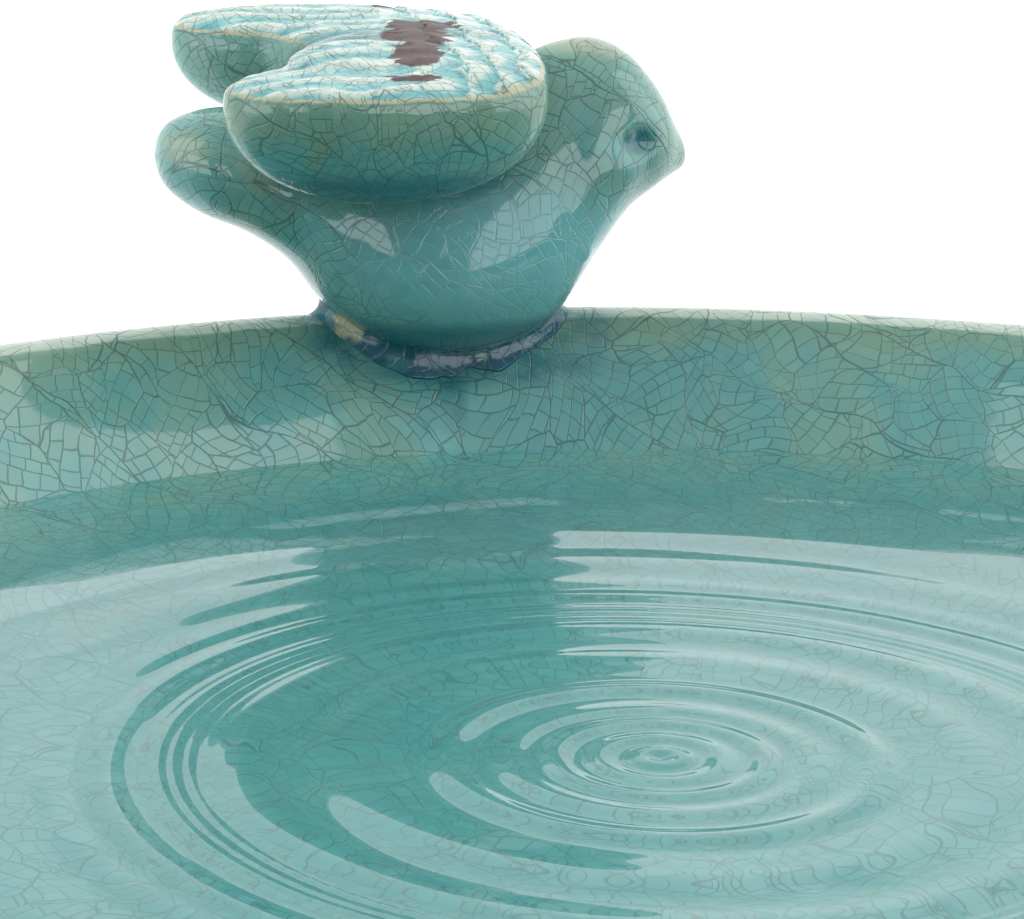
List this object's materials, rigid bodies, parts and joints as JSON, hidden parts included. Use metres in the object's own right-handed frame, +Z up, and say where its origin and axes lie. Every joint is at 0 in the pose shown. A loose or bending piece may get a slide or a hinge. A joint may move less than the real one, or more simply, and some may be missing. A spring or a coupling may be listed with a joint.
{
  "type": "bird bath",
  "caption": "Round glazed crackle stoneware bird bath: a shallow dish with a small bird on its rim, resting on a hollow turned pedestal with a spigot and rubber seat.",
  "frame": {"origin": "on the ground, on the common axis of pedestal and dish", "axes": "+Z up along the axis of the pedestal and the dish, +Y from the axis to the bird on the rim, +X the way the bird faces"},
  "size_m": [0.38, 0.4032, 0.5087],
  "materials": {
    "pedestal_glaze": "glossy teal crackle glaze",
    "bowl_glaze": "glossy teal crackle glaze with olive and tan breaks",
    "bird_glaze": "glossy teal crackle glaze",
    "wing_glaze": "glossy teal crackle glaze, broken to bare brown clay in places",
    "seam_glaze": "deep blue pooled glaze",
    "seat_rubber": "matte moulded rubber",
    "water": "clear rippled water"
  },
  "bodies": {
    "pedestal": {"pedestal": "pedestal_glaze"},
    "seat_ring": {"seat_ring": "seat_rubber"},
    "bowl": {"bowl": "bowl_glaze", "bird_body": "bird_glaze", "bird_wings": "wing_glaze", "bird_seam": "seam_glaze"}
  },
  "joints": [
    {"name": "bowl_turn", "type": "hinge", "parent": "pedestal", "child": "seat_ring", "pos_m": [0, 0, 0.37], "axis": [0, 0, 1], "continuous": true},
    {"name": "bowl_lift", "type": "slide", "parent": "seat_ring", "child": "bowl", "axis": [0, 0, 1], "range_m": [0, 0.04]}
  ]
}
